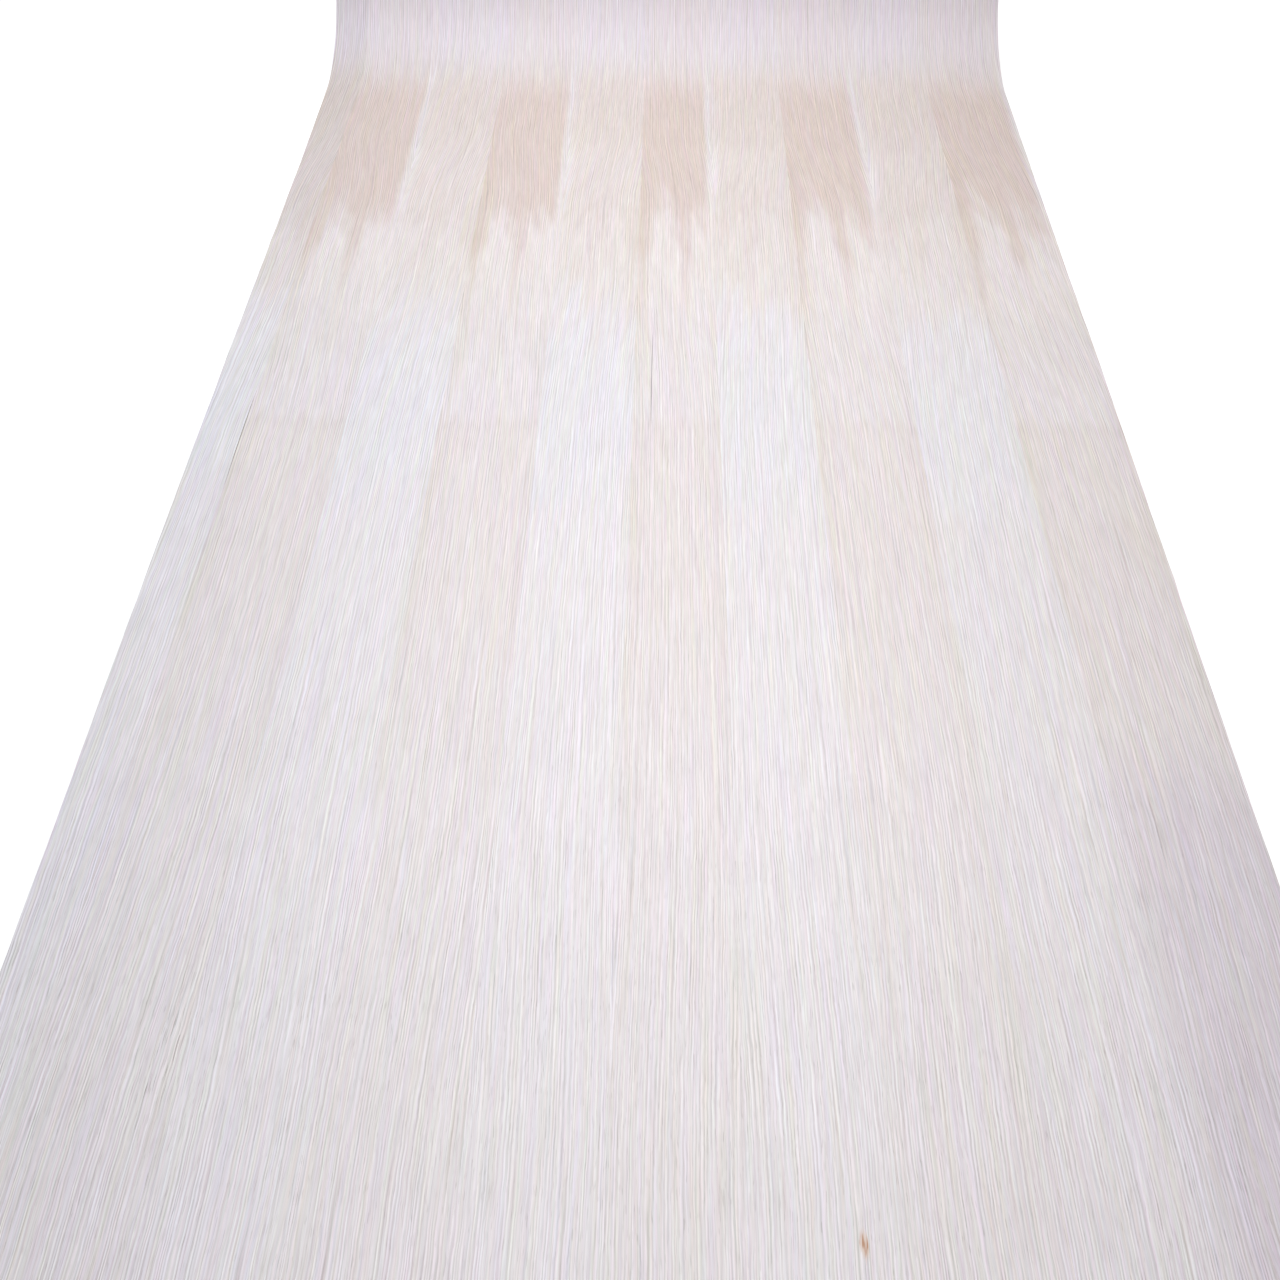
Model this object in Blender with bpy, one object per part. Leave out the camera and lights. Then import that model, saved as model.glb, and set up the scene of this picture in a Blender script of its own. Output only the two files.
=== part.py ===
"""A sheet of pale rift-cut oak veneer, 1220 mm wide and 2440 mm long along its face.

The sheet is made of ten leaves, sliced one after another from the same piece of log. Every second
leaf is turned over like the page of a book, and the leaves are spliced edge to edge. The sheet
lies on the floor, and its far end keeps the upward curl it took from being stored as a roll.

X runs across the leaves, +Y runs along the grain towards the curled end, and +Z is up. The
underside of the flat part is at Z = 0, and the origin is below the middle of the sheet.
"""

import itertools
import math

import bmesh
import bpy

# Driving dimensions, in metres and radians.

SHEET_WIDTH = 1.220
SHEET_LENGTH = 2.440
VENEER_THICKNESS = 0.0006
SPLICE_GAP = 0.0003

# Widths of the leaves as they come off the log, in the order they are laid from the right edge of
# the sheet. The last leaf laid is cut down at the left edge, which leaves it a narrow strip. A
# wider sheet goes on with leaves of the same widths.
LEAF_WIDTHS = (0.1394, 0.1317, 0.1337, 0.1257, 0.1157, 0.1247, 0.1317, 0.1247, 0.1310)

# The curl: the underside follows an arc of this radius through this angle.
CURL_RADIUS = 0.250
CURL_ANGLE = math.radians(60.0)
CURL_STEPS = 24

# A drying split right through one leaf. It runs along the grain and closes at both tips.
SPLIT_LEAF = "leaf_05"
SPLIT_FROM_LEAF_EDGE = 0.0240
SPLIT_FROM_NEAR_END = 1.2420
SPLIT_LENGTH = 0.2030
SPLIT_WIDTH = 0.0008
SPLIT_STEPS = 8

# The faces alternate in tone, because every second leaf shows the other side of its slice.
DARK_COLOUR = (0.81, 0.76, 0.75)
LIGHT_COLOUR = (0.86, 0.83, 0.83)
ROUGHNESS = 0.62

# Sizes that follow from the ones above.
FLAT_LENGTH = SHEET_LENGTH - CURL_RADIUS * CURL_ANGLE
CURL_RUN = CURL_RADIUS * math.sin(min(CURL_ANGLE, math.pi / 2))
NEAR_END = -(FLAT_LENGTH + CURL_RUN) / 2
CURL_START = NEAR_END + FLAT_LENGTH
LEFT_EDGE = -SHEET_WIDTH / 2


def clear_scene():
    """Remove whatever the file opened with."""
    for old in list(bpy.data.objects):
        bpy.data.objects.remove(old, do_unlink=True)


def add_object(name, bm):
    """Turn a finished bmesh into a named object of the scene."""
    mesh = bpy.data.meshes.new(name)
    bm.to_mesh(mesh)
    bm.free()
    made = bpy.data.objects.new(name, mesh)
    bpy.context.scene.collection.objects.link(made)
    return made


def veneer_material(name, colour):
    """Bare wood, with no finish on it."""
    material = bpy.data.materials.new(name)
    material.use_nodes = True
    shader = material.node_tree.nodes["Principled BSDF"]
    shader.inputs["Base Color"].default_value = (*colour, 1.0)
    shader.inputs["Roughness"].default_value = ROUGHNESS
    shader.inputs["Metallic"].default_value = 0.0
    return material


def extruded(bm, face, along):
    """Pull a face of the mesh along a vector, and return what was pulled."""
    pulled = bmesh.ops.extrude_face_region(bm, geom=[face])["geom"]
    moved = [item for item in pulled if isinstance(item, bmesh.types.BMVert)]
    bmesh.ops.translate(bm, verts=moved, vec=along)
    return pulled


def leaf_mesh(left, right):
    """A leaf: its end face pulled along the grain, then swung up about the curl's axis."""
    bm = bmesh.new()
    corners = (
        (left, NEAR_END, 0.0),
        (right, NEAR_END, 0.0),
        (right, NEAR_END, VENEER_THICKNESS),
        (left, NEAR_END, VENEER_THICKNESS),
    )
    end_face = bm.faces.new([bm.verts.new(corner) for corner in corners])
    far_end = extruded(bm, end_face, (0.0, FLAT_LENGTH, 0.0))
    bmesh.ops.spin(
        bm,
        geom=far_end,
        cent=(left, CURL_START, CURL_RADIUS),
        axis=(1.0, 0.0, 0.0),
        angle=CURL_ANGLE,
        steps=CURL_STEPS,
    )
    bmesh.ops.recalc_face_normals(bm, faces=bm.faces)
    return bm


def split_cutter(centre):
    """A blade with the split's outline, which passes right through the veneer."""
    bm = bmesh.new()
    start = NEAR_END + SPLIT_FROM_NEAR_END
    below = -VENEER_THICKNESS
    outline = []
    for side in (1, -1):
        for step in range(SPLIT_STEPS):
            part_way = step / SPLIT_STEPS
            along = part_way if side > 0 else 1.0 - part_way
            across = side * SPLIT_WIDTH / 2 * math.sin(math.pi * along)
            outline.append(bm.verts.new((centre + across, start + along * SPLIT_LENGTH, below)))
    extruded(bm, bm.faces.new(outline), (0.0, 0.0, 3 * VENEER_THICKNESS))
    bmesh.ops.recalc_face_normals(bm, faces=bm.faces)

    cutter = add_object("split_cutter", bm)
    cutter.hide_render = True
    cutter.display_type = "WIRE"
    return cutter


def cut_split(leaf, left):
    """Open the split in its leaf, whose left edge is given."""
    cut = leaf.modifiers.new("split", "BOOLEAN")
    cut.operation = "DIFFERENCE"
    cut.object = split_cutter(left + SPLIT_FROM_LEAF_EDGE)


def leaf_edges():
    """Left and right edge of each leaf, laid until the sheet's width is used up."""
    right = SHEET_WIDTH / 2
    widths = itertools.cycle(LEAF_WIDTHS)
    while right > LEFT_EDGE:
        left = max(right - next(widths), LEFT_EDGE)
        yield left, right
        right = left - SPLICE_GAP


def build_sheet():
    """Lay the leaves side by side, with every second one turned over."""
    tones = (veneer_material("dark_face", DARK_COLOUR), veneer_material("light_face", LIGHT_COLOUR))
    for order, (left, right) in enumerate(leaf_edges()):
        leaf = add_object(f"leaf_{order + 1:02d}", leaf_mesh(left, right))
        leaf.data.materials.append(tones[order % len(tones)])
        if leaf.name == SPLIT_LEAF:
            cut_split(leaf, left)


clear_scene()
build_sheet()
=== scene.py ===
# %% [markdown]
# # A sheet of spliced oak veneer
#
# The object is a sheet of pale rift-cut oak veneer. Ten thin leaves of wood are spliced edge to
# edge, and the sheet lies on the floor with its far end curled up. The imported model holds each leaf
# as a plain solid, and this lesson gives each one its finished look. The model is loaded first,
# because every piece takes its place from it. Its box is kept, so that it can be printed beside the
# finished sheet's box in the last cell.

# %% Load the imported model
import math

import bmesh
import bpy
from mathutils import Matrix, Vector, noise


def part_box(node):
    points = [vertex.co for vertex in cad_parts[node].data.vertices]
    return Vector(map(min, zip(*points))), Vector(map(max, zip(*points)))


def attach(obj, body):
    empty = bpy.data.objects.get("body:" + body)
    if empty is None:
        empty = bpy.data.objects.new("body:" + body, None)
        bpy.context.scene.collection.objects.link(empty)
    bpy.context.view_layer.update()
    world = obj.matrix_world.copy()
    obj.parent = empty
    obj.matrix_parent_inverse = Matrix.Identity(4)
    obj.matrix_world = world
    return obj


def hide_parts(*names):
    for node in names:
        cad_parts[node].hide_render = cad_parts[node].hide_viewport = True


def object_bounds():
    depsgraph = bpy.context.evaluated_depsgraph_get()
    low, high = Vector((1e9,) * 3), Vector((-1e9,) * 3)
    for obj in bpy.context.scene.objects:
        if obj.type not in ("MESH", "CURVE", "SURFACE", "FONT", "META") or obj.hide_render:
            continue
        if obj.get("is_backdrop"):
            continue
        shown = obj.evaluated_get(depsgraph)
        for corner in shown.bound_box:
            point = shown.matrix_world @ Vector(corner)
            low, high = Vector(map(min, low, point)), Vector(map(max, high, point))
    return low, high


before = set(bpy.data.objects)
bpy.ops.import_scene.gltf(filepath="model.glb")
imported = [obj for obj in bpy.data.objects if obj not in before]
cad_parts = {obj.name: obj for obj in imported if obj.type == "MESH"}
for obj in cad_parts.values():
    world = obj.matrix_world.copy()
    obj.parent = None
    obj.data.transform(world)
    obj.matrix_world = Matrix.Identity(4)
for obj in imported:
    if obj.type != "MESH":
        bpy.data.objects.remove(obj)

cad_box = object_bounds()
print("CAD nodes:", ", ".join(sorted(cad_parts)))
print("CAD box:", [[round(value, 4) for value in corner] for corner in cad_box])

# %% [markdown]
# ## The camera
#
# A photograph of a long sheet on the floor is taken from about chest height, from beyond its near
# end, with the camera tipped down. A camera could be placed by eye and corrected, but the two
# straight edges of a sheet of known width settle its height, its tilt and its lens together. The
# values here were fitted in that way, so the edges, the joints and the curl fall where they should.

# %% Camera
CAMERA_PLACE = (-0.0021, -1.3417, 1.1286)
CAMERA_DOWN = math.radians(48.31)
CAMERA_TURN = math.radians(1.06)
SENSOR_WIDTH_MM = 36.0
LENS_MM = 37.41


def placed(name, data):
    """A new object in the scene."""
    made = bpy.data.objects.new(name, data)
    bpy.context.scene.collection.objects.link(made)
    return made


camera_data = bpy.data.cameras.new("camera")
camera_data.sensor_fit = "HORIZONTAL"
camera_data.sensor_width = SENSOR_WIDTH_MM
camera_data.lens = LENS_MM
camera = placed("camera", camera_data)
camera.location = CAMERA_PLACE
camera.rotation_euler = (math.pi / 2 - CAMERA_DOWN, 0.0, CAMERA_TURN)
bpy.context.scene.camera = camera
bpy.context.scene.view_settings.view_transform = "Standard"
print(f"Camera {CAMERA_PLACE[2]:.2f} m up, looking {math.degrees(CAMERA_DOWN):.1f} degrees down")

# %% [markdown]
# ## Helpers for shader nodes
#
# A procedural material is a chain of small nodes. Written out one by one they hide the recipe, so a
# few helpers come first. Most take either a socket or a plain value, and return the socket that
# carries their result, so that one step can be handed straight to the next.

# %% Small helpers for shader nodes
def feed(tree, socket, value):
    """Link a socket to another one, or give it a plain value."""
    if isinstance(value, bpy.types.NodeSocket):
        tree.links.new(value, socket)
    elif value is not None:
        socket.default_value = value


def new_node(tree, kind, **values):
    """A node of a kind. Its inputs are given by name, with _ for a space."""
    node = tree.nodes.new("ShaderNode" + kind)
    for name, value in values.items():
        feed(tree, node.inputs[name.replace("_", " ")], value)
    return node


def maths(tree, operation, *values):
    """A maths node, fed with sockets or numbers."""
    node = new_node(tree, "Math")
    node.operation = operation
    for socket, value in zip(node.inputs, values):
        feed(tree, socket, value)
    return node.outputs["Value"]


def times(tree, first, second):
    """Two values multiplied."""
    return maths(tree, "MULTIPLY", first, second)


def add(tree, value, weight, total):
    """A value times its weight, added to a total."""
    return maths(tree, "MULTIPLY_ADD", value, weight, total)


def vector_maths(tree, operation, first, second=None):
    """A vector maths node. Its second input is a vector, or a number for SCALE."""
    node = new_node(tree, "VectorMath")
    node.operation = operation
    feed(tree, node.inputs[0], first)
    feed(tree, node.inputs["Scale" if operation == "SCALE" else 1], second)
    return node.outputs["Value" if operation == "LENGTH" else "Vector"]


def split_axes(tree, vector):
    """The X, Y and Z of a vector, as sockets."""
    return new_node(tree, "SeparateXYZ", Vector=vector).outputs


def object_axes(tree):
    """The X, Y and Z of a point's place on the object."""
    return split_axes(tree, new_node(tree, "TexCoord").outputs["Object"])


def step(tree, value, start, end, low=0.0, high=1.0):
    """A soft step from low to high, as a value goes from start to end."""
    node = new_node(tree, "MapRange")
    node.interpolation_type = "SMOOTHSTEP"
    for socket, given in zip(node.inputs, (value, start, end, low, high)):
        feed(tree, socket, given)
    return node.outputs["Result"]


def mixed(tree, share, first, second, blend="MIX"):
    """Two colours mixed, with a share of the second."""
    node = new_node(tree, "Mix")
    node.data_type = "RGBA"
    node.blend_type = blend
    feed(tree, node.inputs[0], share)
    feed(tree, node.inputs[6], first)
    feed(tree, node.inputs[7], second)
    return node.outputs[2]


def display(red, green, blue):
    """A colour in steps of 255, brought from the sRGB curve to what a shader works with."""
    shares = [value / 255 for value in (red, green, blue)]
    return (*[((share + 0.055) / 1.055) ** 2.4 for share in shares], 1.0)


print("Helpers made: feed and new_node, and those that use them")

# %% [markdown]
# ## The floor
#
# The sheet lies on a plain white studio floor. A floor painted pure white never looks pure white,
# because it only returns the light that falls on it. So for the camera, and for rays that are
# mirrored or pass through something, the floor gives most of its white by itself and a share of it
# still comes from the lamps, which keeps the object's shadow. Under the flat of the sheet it stays
# a plain pale floor, so that the split in the veneer shows dark, as it does on a real one.

# %% Floor
FLOOR_SIZE = 16.0
FLOOR_BELOW = 0.0002
FLOOR_TONE = (0.80, 0.80, 0.80, 1.0)
FLOOR_OWN_WHITE = 0.78
FLOOR_LIT_SHARE = (0.50, 0.50, 0.50, 1.0)
FLAT_EDGE = 0.012


def seen_directly(tree):
    """One for rays from the camera, and for those that are mirrored or pass through."""
    rays = new_node(tree, "LightPath").outputs
    seen = maths(tree, "MAXIMUM", rays["Is Camera Ray"], rays["Is Glossy Ray"])
    return maths(tree, "MAXIMUM", seen, rays["Is Transmission Ray"])


def under_the_flat(tree, far_edge):
    """One on the floor below the flat part of the sheet."""
    axes = object_axes(tree)
    half_width = cad_box[1][0] - FLAT_EDGE
    across = maths(tree, "LESS_THAN", maths(tree, "ABSOLUTE", axes["X"]), half_width)
    near = maths(tree, "GREATER_THAN", axes["Y"], cad_box[0][1] + FLAT_EDGE)
    far = maths(tree, "LESS_THAN", axes["Y"], far_edge)
    return times(tree, across, times(tree, near, far))


def mixed_light(tree, share, first, second):
    """What two shader nodes give, mixed, with a share of the second."""
    node = new_node(tree, "MixShader", Fac=share)
    feed(tree, node.inputs[1], first.outputs[0])
    feed(tree, node.inputs[2], second.outputs[0])
    return node.outputs["Shader"]


def floor_material(far_edge):
    """Pale and matt, and white where the camera sees it lit."""
    material = bpy.data.materials.new("studio_floor")
    material.use_nodes = True
    tree = material.node_tree
    tree.nodes.clear()
    white = new_node(tree, "AddShader")
    lit = new_node(tree, "BsdfDiffuse", Color=FLOOR_LIT_SHARE)
    feed(tree, white.inputs[0], lit.outputs["BSDF"])
    own = new_node(tree, "Emission", Strength=FLOOR_OWN_WHITE)
    feed(tree, white.inputs[1], own.outputs["Emission"])
    open_floor = maths(tree, "SUBTRACT", 1.0, under_the_flat(tree, far_edge))
    share = times(tree, seen_directly(tree), open_floor)
    plain = new_node(tree, "BsdfDiffuse", Color=FLOOR_TONE)
    new_node(tree, "OutputMaterial", Surface=mixed_light(tree, share, plain, white))
    return material


FLAT_LENGTH = 2.1782
NEAR_END = cad_box[0][1]
CURL_START = NEAR_END + FLAT_LENGTH

floor_bm = bmesh.new()
bmesh.ops.create_grid(floor_bm, x_segments=1, y_segments=1, size=FLOOR_SIZE / 2)
floor_mesh = bpy.data.meshes.new("floor")
floor_bm.to_mesh(floor_mesh)
floor_bm.free()
floor = placed("floor", floor_mesh)
floor.location.z = -FLOOR_BELOW
floor_mesh.materials.append(floor_material(CURL_START))
floor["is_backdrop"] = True
print(f"Floor {FLOOR_SIZE:.0f} m wide, plain below the flat part up to y = {CURL_START:.3f}")

# %% [markdown]
# ## The light
#
# A big pale sheet in a workshop is lit by the room and by the lamps above it. The room's share
# comes from an even world, which is plain white only where the camera sees past the floor. A row of
# three soft lamps hangs over the sheet, so their light falls off towards both long edges. The near
# one hangs low and is weak, which keeps the near corners dimmer. A wide cool one stands behind the
# camera and lights the curl that turns up to face it, and a weak blue one on the left stands for a
# window. One strong lamp would be simpler, but a sheet over two metres long needs several to be lit
# evenly. Together they are about as bright as paper needs: a colour comes out as it is written, and
# nothing on the pale wood clips to white.

# %% World and lamps
ROOM_COLOUR = (0.80, 0.80, 0.80, 1.0)
ROOM_STRENGTH = 0.488
SEEN_WHITE = (1.0, 1.0, 1.0, 1.0)
SEEN_STRENGTH = 1.0
WHITE_LIGHT = (1.0, 1.0, 1.0)
COOL_LIGHT = (0.90, 0.95, 1.0)
WINDOW_LIGHT = (0.35, 0.62, 1.0)

# Place, point aimed at, size, power in watts and colour of each lamp.
LAMPS = {
    "near_lamp": ((0.02, -0.78, 0.70), (0.02, -0.78, 0.0), (0.7, 1.2), 2.25, WHITE_LIGHT),
    "middle_lamp": ((0.08, 0.30, 1.36), (0.08, 0.30, 0.0), (0.8, 1.1), 7.75, WHITE_LIGHT),
    "far_lamp": ((-0.21, 1.25, 1.36), (-0.21, 1.25, 0.0), (0.8, 1.0), 5.8, WHITE_LIGHT),
    "behind_camera": ((0.0, -2.9, 1.9), (0.0, 1.1, 0.0), (1.6, 1.0), 5.5, COOL_LIGHT),
    "window": ((-1.9, -0.2, 1.0), (-0.5, -0.2, 0.0), (0.8, 1.8), 5.7, WINDOW_LIGHT),
}


def soft_lamp(name, place, aim, size, power, colour):
    """A rectangular lamp that the camera doesn't see, aimed at a point."""
    data = bpy.data.lights.new(name, "AREA")
    data.shape = "RECTANGLE"
    data.size, data.size_y = size
    data.energy = power
    data.color = colour
    lamp = placed(name, data)
    lamp.location = place
    lamp.rotation_euler = (Vector(aim) - Vector(place)).to_track_quat("-Z", "Y").to_euler()
    lamp.visible_camera = False


world = bpy.data.worlds.new("studio")
bpy.context.scene.world = world
world.use_nodes = True
world_tree = world.node_tree
world_tree.nodes.clear()
room = new_node(world_tree, "Background", Color=ROOM_COLOUR, Strength=ROOM_STRENGTH)
seen = new_node(world_tree, "Background", Color=SEEN_WHITE, Strength=SEEN_STRENGTH)
room_light = mixed_light(world_tree, seen_directly(world_tree), room, seen)
new_node(world_tree, "OutputWorld", Surface=room_light)
for name, values in LAMPS.items():
    soft_lamp(name, *values)
print(f"World and {len(LAMPS)} soft lamps")

# %% [markdown]
# ## The shape of the face
#
# Every leaf has the same shape along its length: flat on the floor, then rolled up on an arc. A
# point on the sheet is easiest to give by where it lies across, how far it is along the face, and
# how high it is above the underside. One function turns that into a place in space, and all the
# pieces are built with it, so neighbouring leaves always meet. A sheet this thin never lies dead
# flat, so a slow noise lifts it a little here and there, and its two free edges ripple. Where it
# has split, and where a splice has opened, it has buckled up, which is why those gaps look dark.

# %% The sheet as a surface
SHEET_LENGTH = 2.440
THICKNESS = 0.0006
CURL_RADIUS = 0.250
CURL_LENGTH = SHEET_LENGTH - FLAT_LENGTH
WAVE_HEIGHT = 0.0045
WAVE_ACROSS = 2.4
WAVE_ALONG = 1.9
WAVE_LAYER = 7.3
WAVE_END = FLAT_LENGTH - 0.05
WAVE_FADE = 0.30
RIPPLE_HEIGHT = 0.0030
RIPPLE_REACH = 0.025
RIPPLE_ALONG = 14.0
RIPPLE_SIDE = 2.0
RIPPLE_LAYER = 3.1
HALF_WIDTH = cad_box[1][0]
BUCKLES = ((-0.014, 1.343), (-0.551, 1.205))
BUCKLE_HEIGHT = 0.0030
BUCKLE_ACROSS = 0.070
BUCKLE_ALONG = 0.220


def soft(value):
    """Zero up to 0, one from 1 on, and a smooth rise between."""
    value = min(max(value, 0.0), 1.0)
    return value * value * (3.0 - 2.0 * value)


def lift(x, v):
    """How far the veneer stands off the floor."""
    wave = noise.noise(Vector((x * WAVE_ACROSS, v * WAVE_ALONG, WAVE_LAYER)))
    side = math.copysign(RIPPLE_SIDE, x)
    ripple = noise.noise(Vector((side, v * RIPPLE_ALONG, RIPPLE_LAYER)))
    near_edge = math.exp((abs(x) - HALF_WIDTH) / RIPPLE_REACH)
    rise = WAVE_HEIGHT * wave * wave + RIPPLE_HEIGHT * ripple * ripple * near_edge
    for middle_x, middle_v in BUCKLES:
        away = math.hypot((x - middle_x) / BUCKLE_ACROSS, (v - middle_v) / BUCKLE_ALONG)
        rise += BUCKLE_HEIGHT * soft(1.0 - away)
    return rise * soft((WAVE_END - v) / WAVE_FADE)


def on_sheet(x, v, height):
    """A point above the underside, v metres along the face from the near end."""
    turn = max(v - FLAT_LENGTH, 0.0) / CURL_RADIUS
    radius = CURL_RADIUS - height
    return Vector((
        x,
        NEAR_END + min(v, FLAT_LENGTH) + radius * math.sin(turn),
        CURL_RADIUS - radius * math.cos(turn),
    ))


PROBE = 0.05
PROBES_ACROSS, PROBES_ALONG = range(-12, 13), range(44)
highest = max(lift(x * PROBE, v * PROBE) for x in PROBES_ACROSS for v in PROBES_ALONG)
print(f"The sheet lifts off the floor by up to {highest * 1000:.1f} mm on its flat part")

# %% [markdown]
# ## The leaves
#
# The leaves were sliced one after another from the same piece of log and opened like a book, so the
# joints are of two sorts. At one sort, the heel joint here, the two leaves mirror each other about
# the edges that were nearest to the heart of the log. The light leaves have their heel joint on the
# right, the dark ones on the left. Each leaf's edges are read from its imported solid. The numbers
# below say which leaf it is, and count the slices.

# %% Leaves and their edges
SPLICE_GAP = 0.0003
HAIRLINE = 0.00003
UNCUT_WIDTH = 0.131
leaves = []
for node in sorted(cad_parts):
    low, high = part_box(node)
    number = int(node.split("_")[1])
    leaves.append({
        "node": node,
        "slice": number,
        "left": low[0],
        "right": high[0],
        "width": high[0] - low[0],
        "light": number % 2 == 0,
    })
    tone = "light" if leaves[-1]["light"] else "dark"
    print(f"{node} {tone} {leaves[-1]['width'] * 1000:.1f} mm")

# %% [markdown]
# ## Edges and the split
#
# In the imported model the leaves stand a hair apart. Real ones are glued, so the finished edges
# close that gap to a hairline, except where one splice has opened a little. The two free edges of
# the sheet were cut by hand: they wander by about a millimetre, and bow in by up to three.
# One leaf has split along the grain as it dried. The split goes right through, so it has to be a
# real opening with two lips.

# %% Edges, the opened splice and the split
OPENED_LEAVES = ("leaf_10", "leaf_09")
OPENED_FROM, OPENED_TO = 1.10, 1.31
OPENED_WIDTH = 0.0007
EDGE_WANDER = 0.0012
EDGE_WANDER_APART = 9.0
EDGE_WANDER_ALONG = 16.0
EDGE_WANDER_LAYER = 5.7
EDGE_HOLLOWS = {
    -1: ((0.40, 0.85, 0.0024), (1.82, 0.45, 0.0030)),
    1: ((0.30, 0.60, 0.0012),),
}
END_WANDER = 0.0004
SPLIT_LEAF = "leaf_05"
SPLIT_FROM_EDGE = 0.0240
SPLIT_START = 1.2420
SPLIT_LENGTH = 0.2030
SPLIT_WIDTH = 0.0008
BLUNT_TIPS = 0.6


def lens(v, start, end, width):
    """The width of an opening that closes at both of its tips."""
    along = (v - start) / (end - start)
    return width * math.sin(math.pi * along) ** BLUNT_TIPS if 0.0 < along < 1.0 else 0.0


def inward(leaf, side, v):
    """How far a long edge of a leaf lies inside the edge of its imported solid."""
    edge = leaf["left"] if side < 0 else leaf["right"]
    if abs(abs(edge) - HALF_WIDTH) < THICKNESS:
        spot = (edge * EDGE_WANDER_APART, v * EDGE_WANDER_ALONG, EDGE_WANDER_LAYER)
        wander = noise.noise(Vector(spot))
        bowed = sum(
            depth * soft(1.0 - abs(v - middle) / half_length)
            for middle, half_length, depth in EDGE_HOLLOWS[side]
        )
        return bowed + EDGE_WANDER * (0.5 + 0.5 * wander)
    closed = (HAIRLINE - SPLICE_GAP) / 2
    opens = (leaf["node"], side) in ((OPENED_LEAVES[0], 1), (OPENED_LEAVES[1], -1))
    return closed + (lens(v, OPENED_FROM, OPENED_TO, OPENED_WIDTH) / 2 if opens else 0.0)


def across_leaf(leaf, share, v, lip=0):
    """The x of a point at a share of the leaf's width. A lip of -1 or 1 is a side of the split."""
    left = leaf["left"] + inward(leaf, -1, v)
    right = leaf["right"] - inward(leaf, 1, v)
    opening = lens(v, SPLIT_START, SPLIT_START + SPLIT_LENGTH, SPLIT_WIDTH)
    return left + (right - left) * share + lip * opening / 2


print(f"Split {SPLIT_LENGTH * 1000:.0f} mm long in {SPLIT_LEAF}, open splice at leaf_10")

# %% [markdown]
# ## The mesh of a leaf
#
# A leaf is a closed skin: a face, an underside and the rims between them. A Solidify modifier could
# thicken a plain grid, but each skin here needs its own finish and its own place on the texture
# map, so the mesh is built outright. The face is a grid of rows, close together so that the arc
# stays round and the edges can wander. Then the grid is doubled for the underside and a rim is
# closed along every open edge, which also makes the lips of the split.

# %% Rows and the face of a leaf
ROW_STEP = 0.010
CLEAR_OF_MARKS = ROW_STEP / 3
CURL_ROWS = 48
COLUMNS = 8
END_WANDER_ACROSS = 90.0
END_WANDER_LAYER = 2.2


def rows_along(marks):
    """Distances along the face at which a leaf gets a row of points, the marks among them."""
    rows = [row * ROW_STEP for row in range(math.ceil(FLAT_LENGTH / ROW_STEP))]
    rows += [FLAT_LENGTH + CURL_LENGTH * row / CURL_ROWS for row in range(CURL_ROWS + 1)]
    clear = [row for row in rows if all(abs(row - mark) > CLEAR_OF_MARKS for mark in marks)]
    return sorted(clear + list(marks))


def lay_face(bm, leaf, places, strip, lips, rows):
    """Lay a strip of the leaf's face, and note where on the leaf each point is."""
    start, end = strip
    grid = []
    for v in rows:
        line = []
        for column in range(COLUMNS + 1):
            share = start + (end - start) * column / COLUMNS
            lip = lips[0] if column == 0 else lips[1] if column == COLUMNS else 0
            x = across_leaf(leaf, share, v, lip)
            along = v
            if v in (rows[0], rows[-1]):
                spot = Vector((x * END_WANDER_ACROSS, v, END_WANDER_LAYER))
                ragged = 0.5 + 0.5 * noise.noise(spot)
                along += END_WANDER * ragged * (1 if v == rows[0] else -1)
            point = bm.verts.new(on_sheet(x, along, lift(x, along) + THICKNESS))
            places[point] = (x, along, share)
            line.append(point)
        grid.append(line)
    for line, further in zip(grid, grid[1:]):
        for column in range(COLUMNS):
            bm.faces.new((line[column], line[column + 1], further[column + 1], further[column]))


print("Rows in a leaf:", len(rows_along([SHEET_LENGTH / 2])))

# %% [markdown]
# ## Two maps for the leaves
#
# The grain is painted by a map that tells each point its distance from the heel joint and its
# distance along the face, both in metres. Because it counts from the heel joint in every leaf, the
# same pattern comes out mirrored from one leaf to the next, as in the real sheet. A second map
# spreads the leaf over a square picture, so that its colours can be baked. A leaf is nearly twenty
# times as long as it is wide, so its face is folded into two columns beside the underside, with the
# thin rims laid in rows below.

# %% Maps
PICTURE = 1024.0
MARGIN = 4.0
FACE_COLUMN = 403.0
BACK_COLUMN = 202.0
COLUMN_FOOT = 44.0
COLUMN_HEIGHT = 976.0
RIM_LENGTH = 1016.0
RIM_ROW = 7.0
RIM_HEIGHT = 4.0
END_SCALE = 1000.0
HALF_LENGTH = SHEET_LENGTH / 2
FACE, BACK, RIM = range(3)
LEFT_RIM, RIGHT_RIM, LEFT_LIP, RIGHT_LIP, NEAR_RIM, FAR_RIM = range(6)


def from_heel(leaf, x):
    """Distance from the leaf's heel joint."""
    return leaf["right"] - x if leaf["light"] else x - leaf["left"]


def face_place(share, v, middle):
    """Where a point of the face lies on the picture, in picture points."""
    fold = 1 if middle > HALF_LENGTH else 0
    left = MARGIN + fold * (FACE_COLUMN + MARGIN)
    return (
        left + share * FACE_COLUMN,
        COLUMN_FOOT + (v - fold * HALF_LENGTH) / HALF_LENGTH * COLUMN_HEIGHT,
    )


def back_place(share, v):
    """Where a point of the underside lies on the picture."""
    left = 3 * MARGIN + 2 * FACE_COLUMN
    return left + share * BACK_COLUMN, COLUMN_FOOT + v / SHEET_LENGTH * COLUMN_HEIGHT


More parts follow.
